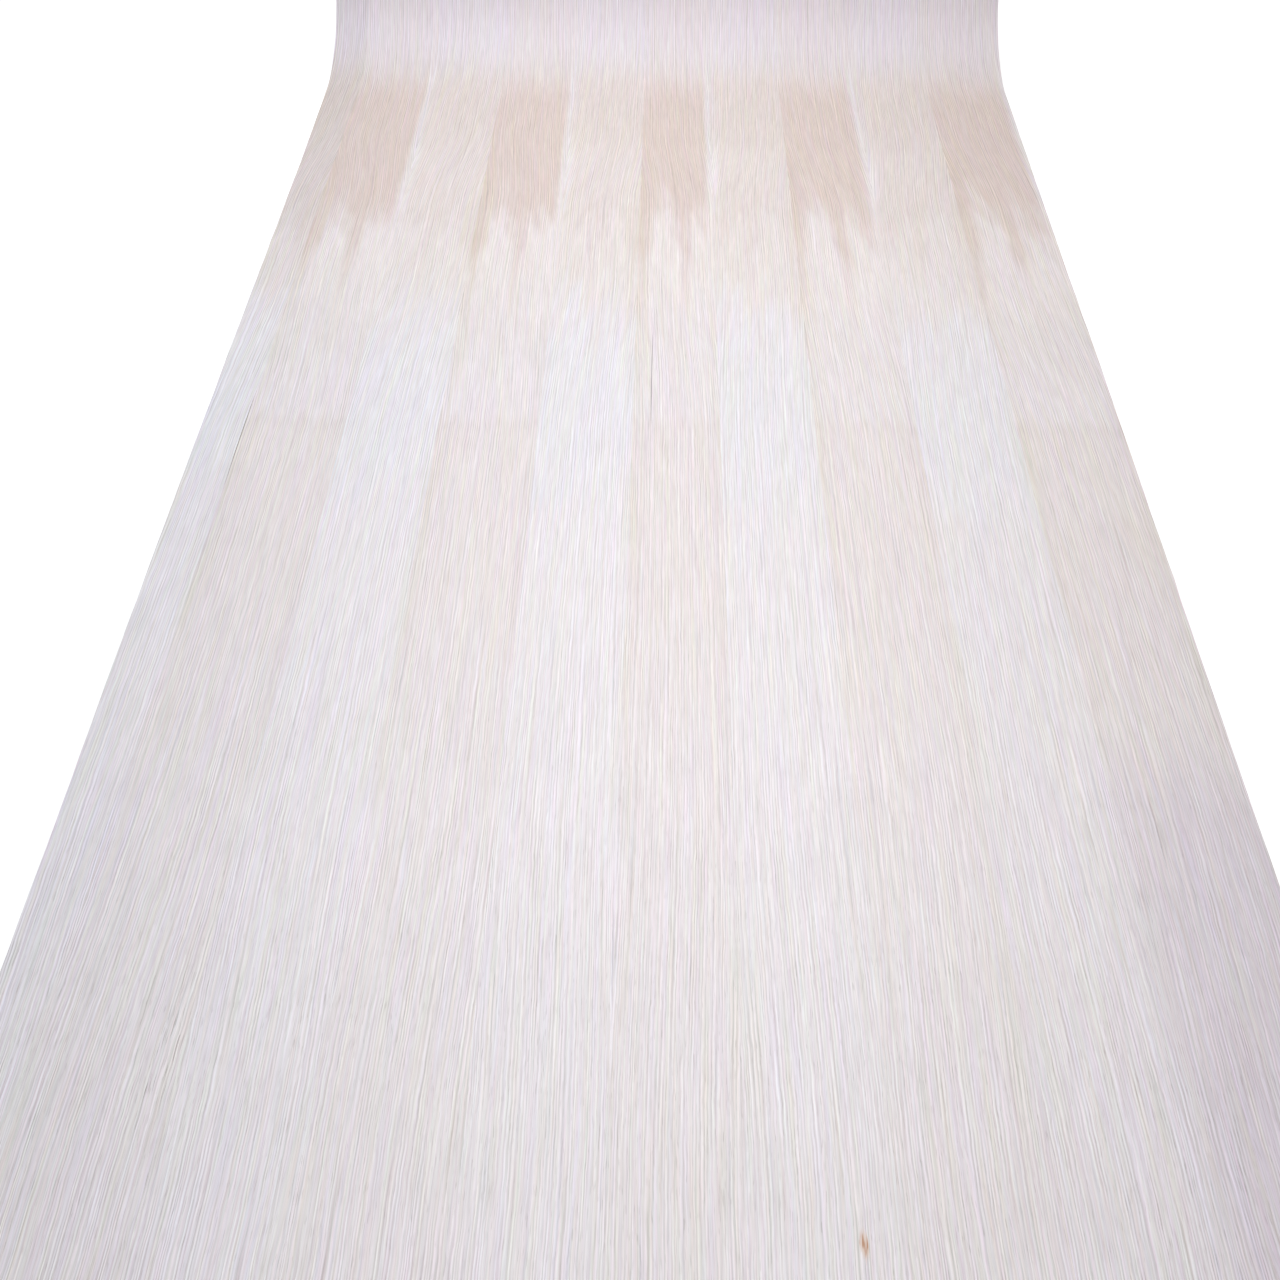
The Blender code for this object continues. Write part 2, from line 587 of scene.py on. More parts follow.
def rim_place(kind, share, v, width, upper):
    """Where a point of a rim lies. Each long rim has its own row, and the two ends share one."""
    row = min(kind, NEAR_RIM)
    if kind < NEAR_RIM:
        run = v / SHEET_LENGTH * RIM_LENGTH
    else:
        run = (kind - NEAR_RIM) * RIM_LENGTH / 2 + share * width * END_SCALE
    return MARGIN + run, MARGIN / 2 + row * RIM_ROW + (RIM_HEIGHT if upper else 0.0)


across_mm = FACE_COLUMN / UNCUT_WIDTH / 1000
along_mm = COLUMN_HEIGHT / HALF_LENGTH / 1000
print(f"The face is baked at {across_mm:.1f} by {along_mm:.1f} points per mm")

# %% [markdown]
# ## Closing the skin
#
# The doubled grid and the rims make one closed surface. Each rim piece has to know which edge it
# belongs to, because that decides its row on the texture map. The edges between a face and a rim
# are marked sharp. Without that, smooth shading would round off an edge half a millimetre thick.

# %% Underside and rims of a leaf
def rim_kind(first, second):
    """Which edge of the leaf two neighbouring outline points lie on."""
    (_, v1, share1), (_, v2, share2) = first, second
    if max(v1, v2) <= END_WANDER:
        return NEAR_RIM
    if min(v1, v2) >= SHEET_LENGTH - END_WANDER:
        return FAR_RIM
    if max(share1, share2) == 0.0:
        return LEFT_RIM
    return RIGHT_RIM if min(share1, share2) == 1.0 else None


def close_skin(bm, places):
    """Add the underside and the rims. Returns the new faces of each."""
    points = [point for point in bm.verts if point in places]
    outline = [edge for edge in bm.edges if edge.is_boundary]
    copy = bmesh.ops.duplicate(bm, geom=bm.verts[:] + bm.edges[:] + bm.faces[:])
    below = {point: copy["vert_map"][point] for point in points}
    for point, under in below.items():
        x, v, _ = places[point]
        under.co = on_sheet(x, v, lift(x, v))
        places[under] = places[point]
    back = [item for item in copy["geom"] if isinstance(item, bmesh.types.BMFace)]
    rims = []
    for edge in outline:
        first, second = edge.verts
        rims.append(bm.faces.new((second, first, below[first], below[second])))
        edge.smooth = False
    for edge in bm.edges:
        if {face in rims for face in edge.link_faces} == {True, False}:
            edge.smooth = False
    bmesh.ops.recalc_face_normals(bm, faces=bm.faces)
    return back, rims, set(below)


print("Rims:", FAR_RIM + 1, "kinds, the lips of the split among them")

# %% [markdown]
# ## A leaf's places on the maps
#
# With the skin closed, every corner gets its place on both maps and every face the number of its
# finish. Blender could unwrap the skin by itself, but it doesn't know the heel joint, nor which
# column or row a face belongs in. The lips of the split are told apart by the way they face.

# %% Mapped mesh of a leaf
WELD_WITHIN = 1e-6


def map_leaf(bm, leaf, places, back, rims, upper):
    """Give every corner its place on both maps, and every face its finish."""
    flitch = bm.loops.layers.uv.new("flitch")
    bake = bm.loops.layers.uv.new("OFBake")
    back, rims = set(back), set(rims)
    for face in bm.faces:
        corners = [places[loop.vert] for loop in face.loops]
        middle = sum(v for _, v, _ in corners) / len(corners)
        face.smooth = face not in rims
        if face in rims:
            face.material_index = RIM
            kind = rim_kind(*(places[point] for point in face.verts if point in upper))
            if kind is None:
                kind = LEFT_LIP if face.normal.x > 0 else RIGHT_LIP
        else:
            face.material_index = BACK if face in back else FACE
        for loop, (x, v, share) in zip(face.loops, corners):
            loop[flitch].uv = (from_heel(leaf, x), v)
            if face in rims:
                spot = rim_place(kind, share, v, leaf["width"], loop.vert in upper)
            elif face in back:
                spot = back_place(share, v)
            else:
                spot = face_place(share, v, middle)
            loop[bake].uv = (spot[0] / PICTURE, spot[1] / PICTURE)


def leaf_mesh(leaf):
    """The closed mesh of a leaf, with both its maps."""
    bm = bmesh.new()
    places = {}
    split_share = SPLIT_FROM_EDGE / leaf["width"]
    if leaf["node"] == SPLIT_LEAF:
        rows = rows_along([SPLIT_START, SPLIT_START + SPLIT_LENGTH, HALF_LENGTH])
        lay_face(bm, leaf, places, (0.0, split_share), (0, -1), rows)
        lay_face(bm, leaf, places, (split_share, 1.0), (1, 0), rows)
        bmesh.ops.remove_doubles(bm, verts=bm.verts, dist=WELD_WITHIN)
        places = {point: place for point, place in places.items() if point.is_valid}
    else:
        lay_face(bm, leaf, places, (0.0, 1.0), (0, 0), rows_along([HALF_LENGTH]))
    back, rims, upper = close_skin(bm, places)
    map_leaf(bm, leaf, places, back, rims, upper)
    mesh = bpy.data.meshes.new(leaf["node"].replace("leaf", "oak_leaf"))
    bm.to_mesh(mesh)
    bm.free()
    return mesh


print("Leaves are built from their edges: face, underside and rims")

# %% [markdown]
# ## Groups and drawn-out noise
#
# Whatever several materials share is kept in a node group, so that it is built once and can be put
# right in one place. All the patterns of wood are drawn out along its grain. A noise texture only
# has one scale, so a helper squeezes its coordinates first, and it serves every pattern below.

# %% Helpers for groups and noise
LATTICE_SHEAR = (0.0, 0.618, 0.377)


def new_group(name, inputs, numbers_out, others_out=()):
    """An empty shader group with named sockets.

    An input comes with its default number, or with None for a vector. Outputs are numbers, apart
    from those that are given with a kind.
    """
    group = bpy.data.node_groups.new(name, "ShaderNodeTree")
    for socket_name, value in inputs.items():
        kind = "NodeSocketVector" if value is None else "NodeSocketFloat"
        socket = group.interface.new_socket(socket_name, in_out="INPUT", socket_type=kind)
        if value is not None:
            socket.default_value = value
    kinds = {**dict.fromkeys(numbers_out, "NodeSocketFloat"), **dict(others_out)}
    for socket_name, kind in kinds.items():
        group.interface.new_socket(socket_name, in_out="OUTPUT", socket_type=kind)
    taken = group.nodes.new("NodeGroupInput").outputs
    given = group.nodes.new("NodeGroupOutput").inputs

    def give(output, value):
        feed(group, given[output], value)

    return group, taken, give


def streaks(tree, path, across, along, detail=0.0):
    """Noise drawn out along the grain. Its spots are about this many metres across and along.

    The noise is sheared as well, or its lattice would line the spots up across the grain.
    """
    stretched = vector_maths(tree, "MULTIPLY", path, (1 / across, 1 / along, 1.0))
    shear = vector_maths(tree, "MULTIPLY", split_axes(tree, stretched)["X"], LATTICE_SHEAR)
    spot = vector_maths(tree, "ADD", stretched, shear)
    node = new_node(tree, "TexNoise", Vector=spot, Scale=1.0, Detail=detail)
    return node.outputs["Fac"]


def swing(tree, path, across, along, **more):
    """The same noise as a value that swings evenly about zero."""
    return maths(tree, "SUBTRACT", streaks(tree, path, across, along, **more), 0.5)


print("Group helpers: new_group, streaks, swing")

# %% [markdown]
# ## The path of the grain
#
# All the patterns of the wood follow its fibres, and these don't run dead straight. In this flitch
# they lean away from the heel joint near one end, swing back beyond the middle, and swing back once
# more before the curl, and a slight crinkle runs through them. A wave texture with distortion could
# fake that, but then each pattern would wander by itself. So one group straightens the map once: it
# takes the sideways drift out, and every pattern after it is drawn in the straightened coordinates.
# The slice number moves each leaf a little deeper into the same wood.

# %% Group: grain path
GRAIN_DRIFTS = (
    (0.22, 0.66, 0.008),
    (1.22, 1.60, -0.011),
    (1.78, 2.04, -0.016),
    (2.05, 2.44, -0.006),
)
WANDER_SIZE, WANDER_REACH = (0.15, 0.45), 0.006
CRINKLE_SIZE, CRINKLE_REACH = (0.030, 0.022), 0.0014
SLICE_SHIFT = 0.0007
SLICE_DEPTH = 0.22


def make_grain_path():
    group, taken, give = new_group(
        "Grain path",
        {"Map": None, "Slice": 1.0},
        ("Straightened", "From heel", "Along"),
        [("Path", "NodeSocketVector")],
    )
    axes = split_axes(group, taken["Map"])
    across, along = axes["X"], axes["Y"]
    for start, end, drift in GRAIN_DRIFTS:
        across = maths(group, "SUBTRACT", across, step(group, along, start, end, 0.0, drift))
    wander = swing(group, taken["Map"], *WANDER_SIZE)
    across = add(group, wander, WANDER_REACH, across)
    crinkle = swing(group, taken["Map"], *CRINKLE_SIZE)
    across = add(group, crinkle, CRINKLE_REACH, across)
    shifted = add(group, taken["Slice"], SLICE_SHIFT, across)
    depth = times(group, taken["Slice"], SLICE_DEPTH)
    give("Path", new_node(group, "CombineXYZ", X=shifted, Y=along, Z=depth).outputs["Vector"])
    give("Straightened", across)
    give("From heel", axes["X"])
    give("Along", along)
    return group


grain_path = make_grain_path()
print("Group:", grain_path.name)

# %% [markdown]
# ## Growth lines
#
# Rift-cut oak shows its year rings as fine straight lines, here a little over three millimetres
# apart. Stretched noise alone makes lines, but it has no spacing, and a wave texture alone spaces
# them like a ruler. So a sine wave across the grain is pushed about by noise: the rings keep their
# spacing roughly, as years do, and fade in and out over a hand's length. Noise lines between them
# stand for the wood of each year, short threads for its fibres, and a broad faint mottle keeps the
# face from looking ruled. The hue wanders too, between a lilac and a cream cast and between pink
# and green, because no two lines have quite the same colour.

# %% Group: growth lines
RING_SPACING = 0.0031
RING_WANDER_SIZE, RING_WANDER = (0.010, 0.90), 2.2
RING_FADE_SIZE = (0.006, 0.13)
RING_STRENGTHS = (0.25, 0.75, 0.2, 1.8)
GRAIN_SIZES = {"Lines": (0.0014, 0.065), "Threads": (0.0008, 0.022), "Mottle": (0.014, 0.06)}
CAST_SIZE = (0.0050, 0.14)
PINK_SIZE = (0.0030, 0.06)
LILAC = (0.10, -0.25, 0.95)
PINK = (0.40, -0.35, -0.20)


def make_growth_lines():
    group, taken, give = new_group(
        "Growth lines",
        {"Path": None, "Rings": 0.08, "Lines": 0.3, "Threads": 0.1, "Mottle": 0.05, "Hue": 0.15},
        ["Tone"],
        [("Tint", "NodeSocketColor")],
    )
    path = taken["Path"]
    pushed = swing(group, path, *RING_WANDER_SIZE)
    turns = maths(group, "DIVIDE", split_axes(group, path)["X"], RING_SPACING)
    turns = add(group, pushed, RING_WANDER, turns)
    rings = maths(group, "SINE", times(group, turns, math.tau))
    strength = step(group, streaks(group, path, *RING_FADE_SIZE), *RING_STRENGTHS)
    tone = times(group, rings, times(group, strength, taken["Rings"]))
    for name, size in GRAIN_SIZES.items():
        tone = add(group, swing(group, path, *size), taken[name], tone)
    give("Tone", tone)
    cast = vector_maths(group, "SCALE", LILAC, swing(group, path, *CAST_SIZE))
    pink = vector_maths(group, "SCALE", PINK, swing(group, path, *PINK_SIZE))
    wander = vector_maths(group, "SCALE", vector_maths(group, "ADD", cast, pink), taken["Hue"])
    give("Tint", vector_maths(group, "ADD", wander, (1.0, 1.0, 1.0)))
    return group


growth_lines = make_growth_lines()
print("Group:", growth_lines.name)

# %% [markdown]
# ## Pores
#
# Oak has open pores: cut lengthwise they are short dark dashes, as thin as a hair and up to a
# centimetre long. They could be modelled or put on by an image, but a fine noise, drawn out along
# the grain and cut off near its peaks, scatters them without a repeat, and a slow noise moves the
# cut, so that they come in patches. A pore is far too fine to cast a shadow of its own, so it only
# darkens the wood.

# %% Group: pores
PORE_SIZE = (0.0008, 0.012)
PORE_SOFTNESS = 0.10
PATCH_SIZE, PATCH_REACH = (0.018, 0.10), 0.12


def make_pores():
    group, taken, give = new_group(
        "Pores",
        {"Path": None, "Scale": 1.0, "Start": 0.655},
        ["Mask"],
    )
    grown = vector_maths(group, "SCALE", taken["Path"], taken["Scale"])
    dashes = streaks(group, grown, *PORE_SIZE)
    patches = swing(group, taken["Path"], *PATCH_SIZE)
    start = add(group, patches, -PATCH_REACH, taken["Start"])
    full = maths(group, "ADD", start, PORE_SOFTNESS)
    give("Mask", step(group, dashes, start, full))
    return group


pores = make_pores()
print("Group:", pores.name)

# %% [markdown]
# ## Tone along the length
#
# Seen down its length, the sheet isn't one colour, and much of what changes is light on the
# fibres, painted into the colour. Its middle stretch carries a pearly, cool painted sheen. The
# leaves that show the other side of their slice catch less of it, so painted shade makes them dull
# up to a ragged line past the middle, and further on the painted sheen shifts between the two kinds
# of leaf again. Towards the curl the colour turns blush, partly the wood's own warmer tone and partly
# painted shade, and the curl itself is tinted cool, which is painted light. The blush begins early
# beside the heel joint and along one streak in the leaf, late elsewhere, and it never reaches the
# outer edge. One colour ramp along the length would cut straight across. Instead each stretch is a
# mask with a soft start and end, noise along the grain pulls its edges into tongues, and the blush
# takes its start from the place across the leaf. On the light leaves its front is pinker than what
# follows, and it deepens again before the curl. The painted shade of a faint crease crosses the dark
# leaves where their dullness ends. The curl carries a painted highlight, and painted shade darkens it
# towards its end.

# %% Group: stretches
TONGUE_SIZE, TONGUE_REACH = (0.006, 0.22), 0.16
CRISP_REACH = 0.045
CRISP = ("Dull", "Deep", "Curl")
CLOUD_SIZE, CLOUD_REACH = (0.06, 0.50), 0.10
PUFF_SIZE, PUFF_REACH = (0.026, 0.065), 0.20
PAST_END = (9.0, 9.1)
# The stretches are mostly painted light: sheen on the fibres, and shade where it is missing.
STRETCHES = {
    "Pearl": (1.04, 1.18, 1.30, 1.56),
    "Dull": (0.45, 1.05, 1.235, 1.275),
    "Late dull": (1.35, 1.42, 1.48, 1.62),
    "Turning": (1.42, 1.62, 1.78, 1.92),
    "Deep": (1.90, 2.06, 2.20, 2.31),
    "Curl": (2.20, 2.345, *PAST_END),
}
BLUSH_START, BLUSH_FULL = 1.64, 1.84
BLUSH_FADE, BLUSH_END = 2.12, 2.335
EARLY_BY = 0.25
EARLY_HEEL = 0.028
EARLY_STREAK = (0.072, 0.016)
LATE_BY = 0.05
LATE_WEDGE = (0.038, 0.030)
OUTER_EDGE = (0.002, 0.015)
# Painted shade of a faint crease across the dark leaves.
CREASE_SHADE = (1.238, 0.018)
# Painted highlight across the curl.
CURL_HIGHLIGHT = (2.312, 0.060)
FRONT = (1.765, 0.075)
# Painted shade towards the end of the curl.
CURL_END_SHADE = (2.335, 2.39)
MASKS = (*STRETCHES, "Blush", "Front", "Crease shade", "Curl highlight", "Curl end shade")


def ridge(tree, value, middle, half_width):
    """One at the middle, falling softly to zero on both sides."""
    away = maths(tree, "ABSOLUTE", maths(tree, "SUBTRACT", value, middle))
    return step(tree, away, 0.0, half_width, 1.0, 0.0)


def reach(tree, along, start, full, fade, end):
    """One along a stretch of the sheet, with soft ends."""
    rising = step(tree, along, start, full)
    return times(tree, rising, step(tree, along, fade, end, 1.0, 0.0))


def make_stretches():
    group, taken, give = new_group(
        "Stretches", {"Path": None, "From heel": 0.0, "Along": 0.0, "Leaf width": 0.13}, MASKS
    )
    tongues = swing(group, taken["Path"], *TONGUE_SIZE)
    clouds = swing(group, taken["Path"], *CLOUD_SIZE)
    crisp = add(group, tongues, CRISP_REACH, taken["Along"])
    ragged = add(group, tongues, TONGUE_REACH, taken["Along"])
    ragged = add(group, clouds, CLOUD_REACH, ragged)
    puffs = swing(group, taken["Path"], *PUFF_SIZE)
    ragged = add(group, puffs, PUFF_REACH, ragged)
    for name, ends in STRETCHES.items():
        give(name, reach(group, crisp if name in CRISP else ragged, *ends))
    # Painted shade of a faint crease.
    give("Crease shade", ridge(group, crisp, *CREASE_SHADE))
    # Painted highlight across the curl, and painted shade towards its end.
    give("Curl highlight", ridge(group, crisp, *CURL_HIGHLIGHT))
    give("Curl end shade", step(group, crisp, *CURL_END_SHADE))

    from_heel = taken["From heel"]
    heel = step(group, from_heel, 0.0, EARLY_HEEL, 1.0, 0.0)
    early = maths(group, "MAXIMUM", heel, ridge(group, from_heel, *EARLY_STREAK))
    start = add(group, early, -EARLY_BY, BLUSH_START)
    late = ridge(group, from_heel, *LATE_WEDGE)
    level = add(group, clouds, CLOUD_REACH, crisp)
    level = add(group, puffs, PUFF_REACH, level)
    level = add(group, late, -LATE_BY, level)
    give("Front", ridge(group, level, *FRONT))
    blush = step(group, level, start, BLUSH_FULL)
    blush = times(group, blush, step(group, crisp, BLUSH_FADE, BLUSH_END, 1.0, 0.0))
    from_outer = maths(group, "SUBTRACT", taken["Leaf width"], from_heel)
    blush = times(group, blush, step(group, from_outer, *OUTER_EDGE))
    give("Blush", blush)
    return group


stretches = make_stretches()
print("Group:", stretches.name)

# %% [markdown]
# ## Bands beside the joints
#
# Because the leaves mirror each other, a dark or pale streak near a leaf's edge comes back at every
# second joint. Here a dull band lies beside the heel joint, clearest on the dark leaves, with a
# bright line a finger's width into the light ones. At the other joint a thin dark line marks the
# edge of the dark leaves, and a pale streak runs up into the light ones towards the curl. These are
# soft ridges over the distance from an edge, each with its own reach along the sheet.

# %% Group: joint bands
HEEL_BAND = 0.028
BRIGHT_LINE = (0.019, 0.012)
PALE_STREAK = (-0.002, 0.009)
EDGE_LINE = (0.007, 0.008)
MIDDLE_REACH = (0.45, 0.85, 1.40, 1.60)
HEEL_REACH = (0.50, 1.15, 1.75, 2.10)
STREAK_REACH = (1.62, 1.85, 2.12, 2.32)


def make_joint_bands():
    group, taken, give = new_group(
        "Joint bands",
        {"Straightened": 0.0, "From heel": 0.0, "Along": 0.0, "Leaf width": 0.13},
        ("Heel", "Bright", "Streak", "Line"),
    )
    from_heel, along = taken["From heel"], taken["Along"]
    middle_reach = reach(group, along, *MIDDLE_REACH)
    heel = step(group, from_heel, 0.0, HEEL_BAND, 1.0, 0.0)
    heel_reach = reach(group, along, *HEEL_REACH)
    give("Heel", times(group, heel, heel_reach))
    bright = ridge(group, from_heel, *BRIGHT_LINE)
    give("Bright", times(group, bright, middle_reach))
    line = ridge(group, maths(group, "SUBTRACT", taken["Leaf width"], from_heel), *EDGE_LINE)
    give("Line", times(group, line, middle_reach))
    from_outer = maths(group, "SUBTRACT", taken["Leaf width"], taken["Straightened"])
    streak = ridge(group, from_outer, *PALE_STREAK)
    streak_reach = reach(group, along, *STREAK_REACH)
    give("Streak", times(group, streak, streak_reach))
    return group


joint_bands = make_joint_bands()
print("Group:", joint_bands.name)

# %% [markdown]
# ## Marks
#
# One small brown pin mark sits near the front of the sheet, and one patch of a dark leaf has
# coarser pores. Both could be painted by hand on an image, but an image is only as sharp as its
# pixels. Here a mark is an oval mask round a point of the map, roughened by noise so that its
# outline isn't a neat ellipse. What fills the mask is up to the material of the leaf.

# %% Group: mark
MARK_ROUGH_SIZE = (0.35, 0.7)
MARK_EDGE = (0.35, 1.0)


def make_mark():
    group, taken, give = new_group(
        "Mark", {"Map": None, "Place": None, "Per metre": None, "Ragged": 0.6}, ["Mask"]
    )
    away = vector_maths(group, "SUBTRACT", taken["Map"], taken["Place"])
    scaled = vector_maths(group, "MULTIPLY", away, taken["Per metre"])
    rough = swing(group, scaled, *MARK_ROUGH_SIZE, detail=2.0)
    distance = vector_maths(group, "LENGTH", scaled)
    distance = add(group, rough, taken["Ragged"], distance)
    give("Mask", step(group, distance, *MARK_EDGE, 1.0, 0.0))
    return group


mark = make_mark()
print("Group:", mark.name)

# %% [markdown]
# ## The face of the veneer
#
# Each leaf gets its own material, built from the same groups with its own values. The colour starts
# as bare oak, and each stretch along the length has a tint of its own. The wood is unsanded and
# unfinished, so it is matt, with hardly any sheen. The knife left it slightly furry, so a relief of
# fine fibres just breaks its surface.

# %% Colours and values of the wood
# Light and dark leaves differ because their fibres catch the light differently; that part of their
# colours is painted sheen and painted shade.
BODY = {True: display(240, 233, 234), False: display(239, 231, 231)}
# Pearl is painted sheen, Dull and Late dull are painted shade, Turning moves the painted sheen
# between the two kinds of leaf, and Curl is painted cool light. Blush, Front and Deep are partly the
# wood's own colour and partly painted shade.
STRETCH_TINTS = {
    True: {
        "Pearl": ((239, 234, 236), 1.0),
        "Turning": ((239, 229, 225), 0.9),
        "Blush": ((236, 224, 220), 0.9),
        "Front": ((231, 218, 212), 0.35),
        "Deep": ((231, 218, 212), 0.6),
        "Curl": ((232, 222, 228), 0.9),
    },
    False: {
        "Pearl": ((240, 231, 231), 0.9),
        "Dull": ((238, 228, 226), 0.9),
        "Late dull": ((238, 229, 227), 0.9),
        "Turning": ((243, 233, 230), 0.8),
        "Blush": ((229, 212, 205), 1.0),
        "Curl": ((232, 221, 225), 0.9),
    },
}
HEEL_TINT = (0.968, 0.968, 0.935, 1.0)
HEEL_SHARE = {True: 0.4, False: 0.9}
GRAIN = {"Rings": 0.080, "Lines": 0.295, "Threads": 0.26, "Mottle": 0.06, "Hue": 0.16}
TONE_WEIGHTS = (0.93, 1.0, 1.03)
GRAIN_FADE = (0.35, 1.10, 1.0, 0.92)
PORE_DARKENING = 0.16
PORE_FADE = (0.30, 1.00, 1.0, 0.35)
STREAK_LIGHTENING = 0.045
BRIGHT_LIGHTENING = 0.020
LINE_DARKENING = 0.035
# The next three paint light: the shade of a crease, a highlight on the curl and shade at its end.
CREASE_SHADE_DARKENING = 0.022
CURL_HIGHLIGHT_LIGHTENING = 0.018
CURL_END_SHADE_DARKENING = 0.048
ROUGHNESS = 0.62
SHEEN_LEVEL = 0.22
RELIEF = 0.00006
FIBRE_SIZE = (0.0009, 0.016)
print(f"Face: roughness {ROUGHNESS}, relief {RELIEF * 1000:.2f} mm")

# %% Helpers for the wood's materials
def place_group(tree, group, **values):
    """Put a group into a tree. Its inputs are given by name, with _ for a space."""
    node = new_node(tree, "Group")
    node.node_tree = group
    for name, value in values.items():
        feed(tree, node.inputs[name.replace("_", " ")], value)
    return node.outputs


def leaf_map(tree):
    """The map that counts from the heel joint and from the near end."""
    node = new_node(tree, "UVMap")
    node.uv_map = "flitch"
    return node.outputs["UV"]


def new_wood(name):
    """A matt wood material. Returns it, its tree and its shader."""
    material = bpy.data.materials.new(name)
    material.use_nodes = True
    shader = material.node_tree.nodes["Principled BSDF"]
    shader.inputs["Roughness"].default_value = ROUGHNESS
    shader.inputs["Specular IOR Level"].default_value = SHEEN_LEVEL
    return material, material.node_tree, shader


def toned(tree, colour, tone):
    """A colour made lighter or darker by a tone about zero. Dark wood is warmer than pale."""
    swung = vector_maths(tree, "SCALE", TONE_WEIGHTS, tone)
    shares = vector_maths(tree, "ADD", swung, (1.0, 1.0, 1.0))
    return vector_maths(tree, "MULTIPLY", colour, shares)


def relief(tree, shader, spot):
    """Give the surface a shallow relief of fibres that run along the leaf."""
    fibres = streaks(tree, spot, *FIBRE_SIZE)
    bump = new_node(tree, "Bump", Strength=1.0, Distance=RELIEF, Height=fibres)
    feed(tree, shader.inputs["Normal"], bump.outputs["Normal"])


print("Material helpers: place_group, leaf_map, new_wood, toned, relief")

# %% [markdown]
# ## What single leaves have of their own
#
# The leaves share one recipe, and a few of them add something to it. The pin mark is a pale halo
# with dark threads along the grain in its middle. The coarse patch is a second, larger set of
# pores, kept inside a mark. At the near right, a soft mauve shadow is painted over the wood: it is
# painted shade, not a colour of the oak. That shadow's edge runs straight up the sheet and across a
# joint, so it is set by the place on the sheet and not by the leaf's own map. The leaf that was cut
# down to a strip gets duller towards the curl, and its width is taken as that of a whole leaf, so
# its bands fall where they would have been. Each leaf could have a recipe of its own, but then
# they'd no longer look like slices of one log.

# %% Pin mark, coarse patch and shaded corner
PIN_LEAF = "leaf_04"
PIN_PLACE = (0.0316, 0.2085, 0.0)
PIN_PER_METRE = (1 / 0.0047, 1 / 0.0160, 0.0)
PIN_RAGGED = 1.0
PIN_THREADS = (0.0011, 0.012)
PIN_CORE_EDGE = (0.42, 0.62)
PIN_HALO = display(235, 216, 204)
PIN_CORE = display(196, 148, 118)
COARSE_LEAF = "leaf_09"
COARSE_PLACE = (0.118, 0.360, 0.0)
COARSE_PER_METRE = (1 / 0.016, 1 / 0.080, 0.0)
COARSE_RAGGED = 1.2
COARSE_SCALE = 0.75
COARSE_START = 0.60
COARSE_DARKENING = 0.30
# Painted shade: a mauve shadow painted over the near right corner of the sheet, across two leaves.
PAINTED_SHADOW_LEAVES = ("leaf_01", "leaf_02")
PAINTED_SHADOW_ENDS = (0.62, 0.76, 1.0, 0.0)
PAINTED_SHADOW_SIDE = (0.430, 0.500)
PAINTED_SHADOW_TINT = (0.928, 0.912, 0.955, 1.0)
CUT_LEAF = "leaf_10"
CUT_LEAF_DULLS = (1.45, 1.90, 0.0, 0.082)


def pin_marked(tree, spot, path, colour):
    """The colour with the pin mark on it."""
    halo = place_group(
        tree, mark, Map=spot, Place=PIN_PLACE, Per_metre=PIN_PER_METRE, Ragged=PIN_RAGGED
    )
    threads = streaks(tree, path["Path"], *PIN_THREADS)
    core = times(tree, step(tree, threads, *PIN_CORE_EDGE), halo["Mask"])
    return mixed(tree, core, mixed(tree, halo["Mask"], colour, PIN_HALO), PIN_CORE)


def with_coarse_patch(tree, spot, path, tone):
    """The tone with larger pores in one patch."""
    patch = place_group(
        tree, mark, Map=spot, Place=COARSE_PLACE, Per_metre=COARSE_PER_METRE, Ragged=COARSE_RAGGED
    )
    coarse = place_group(tree, pores, Path=path["Path"], Scale=COARSE_SCALE, Start=COARSE_START)
    coarse = times(tree, coarse["Mask"], patch["Mask"])
    return add(tree, coarse, -COARSE_DARKENING, tone)


def with_painted_corner_shadow(tree, path, colour):
    """The colour with a soft mauve shadow painted over the near right of the sheet."""
    shaded = mixed(tree, 1.0, colour, PAINTED_SHADOW_TINT, "MULTIPLY")
    axes = object_axes(tree)
    near_end = step(tree, path["Along"], *PAINTED_SHADOW_ENDS)
    right_side = step(tree, axes["X"], *PAINTED_SHADOW_SIDE)
    return mixed(tree, times(tree, near_end, right_side), colour, shaded)


print("Pin mark in", PIN_LEAF, "and coarse patch in", COARSE_LEAF)

# %% [markdown]
# ## A face put together
#
# In real wood everything lies in the same fibres, so a pore is dark in the blush as well. Mixing in
# each pattern as a colour of its own would let one hide another. So the colour is tinted first,
# stretch by stretch, and all the lines, bands and pores add up to one tone that is laid over it.
# The pin mark comes last, because it hides the wood below it.

